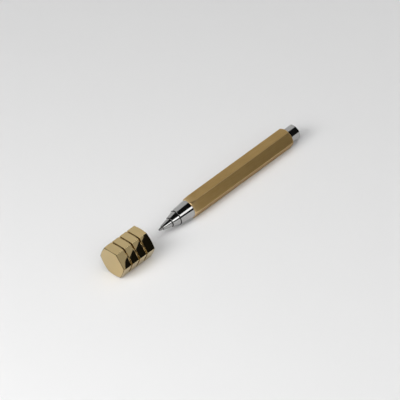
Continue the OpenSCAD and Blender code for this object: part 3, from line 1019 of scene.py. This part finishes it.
@dataclass
class Cap:
    """Hexagonal brass cap with turned grooves and a blind bore.

    Attributes:
        corner_round: radius of the long edges, in millimetres, as are the other lengths.
        chamfer_deg: angle of the end chamfers, from the end faces.
        face_cut: how far the end faces' edges lie below the flats.
        grooves, groove_pitch: number of grooves, set about the cap's middle, and distance between them.
        groove_w, groove_floor_r: width of a groove, and radius at its bottom.
        groove_steps, groove_grime: places along the curve of its bottom, and the painted shade on it, from 0
            to 1.
        bore_r: radius of the bore.
        floor: thickness of the closed end.
        mouth_bevel, mouth_ring: widths of the bevel of the bore's mouth and of the even ring round it.
        crown_along, crown_across: how far polishing rounded each block off, towards its ends and its corners.
        end_roll: how far the first block falls off from its middle to the closed end.
        dome: how far the closed end's middle stands out beyond its edge.
        lip, rim: ease of the grooves' lips, and of the chamfers' edges.
        rim_grime, rim_start: painted shade on the closed end's chamfer, and the share of the chamfer that it
            leaves clean.
        block_rows: places along a block, from -1 to 1, where its outline has a corner.
    """

    corner_round: float = 0.14
    chamfer_deg: float = 15.0
    face_cut: float = 0.4
    grooves: int = 3
    groove_pitch: float = 5.6
    groove_w: float = 1.0
    groove_floor_r: float = 7.9
    groove_steps: int = 9
    groove_grime: float = 0.35
    bore_r: float = 5.45
    floor: float = 2.6
    mouth_bevel: float = 0.4
    mouth_ring: float = 0.4
    crown_along: float = 0.02
    crown_across: float = 0.17
    end_roll: float = 0.15
    dome: float = 0.05
    lip: float = 0.12
    rim: float = 0.22
    rim_grime: float = 1.0
    rim_start: float = 0.35
    block_rows: Sequence[float] = (-0.95, -0.7, -0.35, 0.0, 0.35, 0.7, 0.95)

    def build(self) -> None:
        """Makes the cap: from the middle of the closed end out along the blocks, then back along the bore."""
        low, high = box_mm("cap")
        length = high[0] - low[0]
        flat = (high[2] - low[2]) / 2.0
        section = Section.hexagon(2.0 * flat, self.corner_round)
        body_r = section.radius - self.crown_across * section.swell**2
        face_r = flat - self.face_cut
        mouth_r = self.bore_r + self.mouth_bevel
        chamfer = (body_r - face_r) * math.tan(math.radians(self.chamfer_deg))
        spots = length / 2.0 + self.groove_pitch * (np.arange(self.grooves) - (self.grooves - 1) / 2.0)
        bend = self.groove_w / 2.0
        starts = [self.dome + chamfer, *(spots + bend)]
        stops = [*(spots - bend), length - chamfer]
        rim_r = face_r + self.rim_start * (body_r - self.end_roll - face_r)
        outline = Profile(section)
        for share in DOME_SHARES:
            outline.to(self.dome * share**2, face_r * share)
        outline.to(self.dome + self.rim_start * chamfer, rim_r)
        for i, (start, stop) in enumerate(zip(starts, stops)):
            self.block(outline, start, stop, body_r, first=i == 0, last=i == self.grooves)
            if i < self.grooves:
                centre_r = self.groove_floor_r + bend
                # Painted shade on each groove's floor
                outline.arc(spots[i], centre_r, bend, HALF_ROUND, self.groove_steps, self.groove_grime)
        outline.to(length, face_r, self.lip)
        outline.to(length, mouth_r + self.mouth_ring, even=True)
        outline.to(length, mouth_r, even=True)
        outline.to(length - self.mouth_bevel, self.bore_r, even=True)
        outline.to(self.floor, self.bore_r, self.mouth_bevel, even=True)
        outline.to(self.floor, 0.0)
        skin = outline.skin(axis_of("cap", low[0]), Ends.POLES)
        fit_piece("grooved_brass_cap", skin, POLISHED_BRASS, "cap_unit", "cap")

    def block(
        self, outline: Profile, start: Along, stop: Along, body_r: np.ndarray, first: bool, last: bool
    ) -> None:
        """Adds one block: a flat that falls off by its crown times the squared distance from its middle.

        Args:
            outline: the cap's outline.
            start: where the block begins.
            stop: where it ends.
            body_r: radius of the hexagon in each column.
            first: whether it is the block at the closed end.
            last: whether it is the block at the mouth.
        """
        middle, half = (start + stop) / 2.0, (stop - start) / 2.0
        fall = self.end_roll if first else self.crown_along
        # Painted shade: the first block's eased edge at the closed end takes the shade colour, a dark line
        # round that edge
        start_ease, start_grime = (self.rim, self.rim_grime) if first else (self.lip, 0.0)
        outline.to(start, body_r - fall, start_ease, grime=start_grime)
        for share in self.block_rows:
            crown = fall if share < 0.0 else self.crown_along
            outline.to(middle + half * share, body_r - crown * share**2)
        outline.to(stop, body_r - self.crown_along, self.rim if last else self.lip)


@dataclass
class ReturnSpring:
    """Return spring round the refill, one fixed wire.

    Attributes:
        coils: number of coils.
        wire: thickness of the wire, in millimetres.
        squeeze: how much the coils close up towards both ends, from 0 to 1.
        steps: places along each coil.
        sides: places round the wire.
    """

    coils: int = 14
    wire: float = 0.4
    squeeze: float = 0.45
    steps: int = 32
    sides: int = 12

    def skin(self, axis: Axis, first: float, final: float, outer_r: float) -> Skin:
        """Winds the wire.

        With t from 0 to 1 along the wire, its centre turns about the axis by t times the coils and moves
        along by t - squeeze sin(2 pi t) / (2 pi) of the way. Round the wire, with a its angle, it stands off
        the centre by cos a along the axis and by sin a away from it, each times half the wire.

        Args:
            axis: the axis.
            first: where the spring begins along the axis, in millimetres.
            final: where it ends.
            outer_r: radius of its outside.

        Returns:
            The wire's surface, closed by a flat at each end.
        """
        half = self.wire / 2.0
        t = np.linspace(0.0, 1.0, self.coils * self.steps + 1)[:, None]
        round_wire = np.linspace(0.0, FULL_TURN, self.sides, endpoint=False)
        way = t - self.squeeze * np.sin(FULL_TURN * t) / FULL_TURN
        along = first + half + (final - first - self.wire) * way + half * np.cos(round_wire)
        radius = outer_r - half + half * np.sin(round_wire)
        rings = axis.place(along, radius, FULL_TURN * self.coils * t - math.pi / 2.0)
        middles = np.broadcast_to(rings.mean(axis=1, keepdims=True), rings.shape)
        points = np.concatenate([middles[:1], rings, middles[-1:]])
        bare = np.zeros(points.shape[:2])
        return Skin(points, bare, bare, Ends.POLES)

    def build(self) -> None:
        """Makes the spring as one fixed wire between its ends."""
        low, high = box_mm("return_spring")
        axis = axis_of("return_spring")
        piece = self.skin(axis, low[0], high[0], (high[2] - low[2]) / 2.0).object("spring_wire")
        piece.data.materials.append(SPRING_STEEL.build())
        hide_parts("return_spring")
        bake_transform(piece)
        LOG.info("spring_wire stands for return_spring, between pen_body and refill_unit")


@dataclass
class Inside:
    """The pieces that keep their solids: the works inside the barrel and the ball in the point.

    Attributes:
        frame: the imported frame.
    """

    frame: dict

    def dress(self) -> None:
        """Gives every solid the finish of its slot in the record."""
        slots = {row["node"]: row["material_slot"] for row in self.frame["record"]["subparts"]}
        for node, solid in self.frame["nodes"].items():
            solid.data.materials.clear()
            solid.data.materials.append(FINISH_OF_SLOT[slots[node]].build())
            LOG.info("%s has the finish %s", node, slots[node])


@dataclass(frozen=True)
class Softbox:
    """A plain white lamp panel that faces a point.

    Attributes:
        name: name of the lamp.
        towards: direction from that point to the lamp.
        distance: how far away it stands, in metres, as are its sizes.
        width, height: its sizes from side to side and up and down.
        brightness: its radiance, where 1 is white.
        aim: the point.
        roll_deg: how far it is turned about the line to that point.
        lights: what it lights.
    """

    name: str
    towards: Triple
    distance: float
    width: float
    height: float
    brightness: float
    aim: Triple = (-0.02, 0.0, 0.0)
    roll_deg: float = 0.0
    lights: Lights = Lights.ALL

    def build(self) -> None:
        """Makes the lamp, whose power is pi times its area times its brightness."""
        lamp = bpy.data.lights.new(self.name, "AREA")
        lamp.shape = "RECTANGLE"
        lamp.size, lamp.size_y = self.width, self.height
        lamp.energy = math.pi * self.width * self.height * self.brightness
        panel = bpy.data.objects.new(self.name, lamp)
        bpy.context.scene.collection.objects.link(panel)
        out = Vector(self.towards).normalized()
        panel.location = Vector(self.aim) + out * self.distance
        panel.rotation_mode = "QUATERNION"
        level = out.to_track_quat("Z", "Y")
        panel.rotation_quaternion = Quaternion(out, math.radians(self.roll_deg)) @ level
        panel.visible_camera = False
        panel.visible_diffuse = self.lights is not Lights.METAL
        panel.visible_glossy = self.lights is not Lights.TABLE
        LOG.info("%s lights the pen from %s", self.name, tuple(round(c, 3) for c in panel.location))


LAMPS = (
    Softbox("left_softbox", (-0.829, 0.029, 0.559), distance=0.90, width=0.80, height=0.55, brightness=4.2),
    Softbox("right_softbox", (0.788, -0.256, 0.559), distance=1.00, width=0.50, height=0.45, brightness=0.6),
    Softbox(
        "back_panel", (0.435, 0.69, 0.58), distance=1.00, width=1.60, height=1.23, brightness=0.70,
        lights=Lights.METAL,
    ),
    Softbox(
        "table_fill", (-0.15, -0.42, 0.88), distance=1.40, width=2.40, height=2.40, brightness=1.30,
        lights=Lights.TABLE,
    ),
    Softbox(
        "nose_card", (0.17, -0.80, 0.57), distance=0.24, width=0.17, height=0.09, brightness=2.0,
        aim=(-0.045, 0.0, 0.0055), lights=Lights.METAL,
    ),
    Softbox(
        "cap_card", (0.15, -0.89, 0.43), distance=0.0676, width=0.074, height=0.044, brightness=0.45,
        aim=(-0.086, -0.0098, 0.013), roll_deg=36.0, lights=Lights.METAL,
    ),
)


@dataclass
class Studio:
    """Pale table in a dim room with a low pale backdrop, and the lamps.

    Attributes:
        table_size, table_lines: width of the table in metres, and lines of its grid each way.
        table_colour: colour of the table.
        table_cloud, table_cloud_mm: brightness of its faint clouds beside the rest, and their size.
        table_roughness, table_shine: roughness of the table, and strength of its gloss.
        table_fade: distances between which the table pales into the backdrop, in metres.
        table_glow: brightness that the far table has of its own.
        room, backdrop: brightness of the room, and of the low pale backdrop that runs round the table.
        backdrop_top, backdrop_edge: sine of the angle that the backdrop reaches up to, and how much further it
            takes to fade into the room.
        lamps: a softbox at each end of the pen, a panel behind it, a fill for the table and two small cards.
    """

    table_size: float = 6.0
    table_lines: int = 9
    table_colour: Colour = (0.83, 0.83, 0.83)
    table_cloud: float = 0.985
    table_cloud_mm: float = 60.0
    table_roughness: float = 0.7
    table_shine: float = 0.2
    table_fade: Span = (0.5, 1.6)
    table_glow: float = 0.4
    room: float = 0.01
    backdrop: float = 0.75
    backdrop_top: float = 0.05
    backdrop_edge: float = 0.01
    lamps: Sequence[Softbox] = LAMPS

    def build(self) -> None:
        """Sets the table, the room and the lamps."""
        self.table()
        self.dim_room()
        for lamp in self.lamps:
            lamp.build()

    def table(self) -> None:
        """Makes the table top, a flat grid at the height that the pen lies on."""
        side = np.linspace(-self.table_size / 2.0, self.table_size / 2.0, self.table_lines)
        x, y = np.meshgrid(side, side, indexing="ij")
        points = np.stack([x, y, np.zeros_like(x)], axis=-1)
        numbers = np.arange(x.size).reshape(x.shape)
        squares = np.stack([numbers[:-1, :-1], numbers[1:, :-1], numbers[1:, 1:], numbers[:-1, 1:]], axis=-1)
        mesh = bpy.data.meshes.new("table_top")
        mesh.from_pydata(points.reshape(-1, 3).tolist(), [], squares.reshape(-1, 4).tolist())
        top = bpy.data.objects.new("table_top", mesh)
        bpy.context.scene.collection.objects.link(top)
        shader = Shader("pale_table")
        cloud = shader.noise((self.table_cloud_mm,) * 3, CLOUD_DETAIL)
        clouded = tuple(self.table_cloud * part for part in self.table_colour)
        shader.set("Base Color", shader.mix(cloud, self.table_colour, clouded))
        shader.set("Roughness", self.table_roughness)
        shader.set("Specular IOR Level", self.table_shine)
        shader.set("Emission Color", WHITE)
        glow = shader.spread(shader.reach(), self.table_fade, (0.0, self.table_glow))
        shader.set("Emission Strength", glow)
        mesh.materials.append(shader.material)

    def dim_room(self) -> None:
        """Makes the world: an even dim room with a low pale backdrop along the horizon."""
        scene = bpy.context.scene
        scene.world = bpy.data.worlds.new("room")
        sky = Wiring(scene.world)
        way = sky.add("TexCoord", {})["Generated"]
        up = sky.add("SeparateXYZ", {"Vector": way})["Z"]
        edge = (self.backdrop_top, self.backdrop_top + self.backdrop_edge)
        background = sky.nodes["Background"]
        sky.put(background.inputs["Strength"], sky.spread(up, edge, (self.backdrop, self.room)))
        sky.put(background.inputs["Color"], WHITE)


@dataclass
class PhotoCamera:
    """Camera at the viewing angle of the photograph.

    Attributes:
        aim: point in the middle of the picture, in metres.
        azimuth_deg: angle of the view about +Z, from +Y towards +X.
        elevation_deg: angle of the view below the horizon.
        roll_deg: how far the picture's right side tips up.
        distance: distance to the aim, in metres.
        lens_mm, sensor_mm: focal length, and width of the sensor.
    """

    aim: Triple = (-0.02514, 0.00540, 0.0)
    azimuth_deg: float = 37.66
    elevation_deg: float = 39.83
    roll_deg: float = -9.784
    distance: float = 2.1745
    lens_mm: float = 353.6
    sensor_mm: float = 36.0

    def build(self) -> None:
        """Makes the camera and hands it to the scene."""
        turn, dip = math.radians(self.azimuth_deg), math.radians(self.elevation_deg)
        ahead = Vector((math.sin(turn) * math.cos(dip), math.cos(turn) * math.cos(dip), -math.sin(dip)))
        level = Vector((math.cos(turn), -math.sin(turn), 0.0))
        right = Matrix.Rotation(-math.radians(self.roll_deg), 3, ahead) @ level
        up = right.cross(ahead)
        data = bpy.data.cameras.new("photo_camera")
        data.lens, data.sensor_width = self.lens_mm, self.sensor_mm
        camera = bpy.data.objects.new("photo_camera", data)
        bpy.context.scene.collection.objects.link(camera)
        camera.rotation_mode = "QUATERNION"
        camera.rotation_quaternion = Matrix((right, up, -ahead)).transposed().to_quaternion()
        camera.location = Vector(self.aim) - ahead * self.distance
        bpy.context.scene.camera = camera
        LOG.info("camera %.2f m away", self.distance)


def main() -> None:
    """Loads the frame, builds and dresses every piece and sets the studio."""
    logging.basicConfig(level=logging.INFO, format="%(name)s: %(message)s")
    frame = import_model()
    bpy.context.scene.view_settings.view_transform = "Standard"
    PhotoCamera().build()
    Inside(frame).dress()
    for part in (Barrel(), Nose(), Point(), Button(), Cap(), ReturnSpring()):
        part.build()
    Studio().build()


if __name__ == "__main__":
    main()
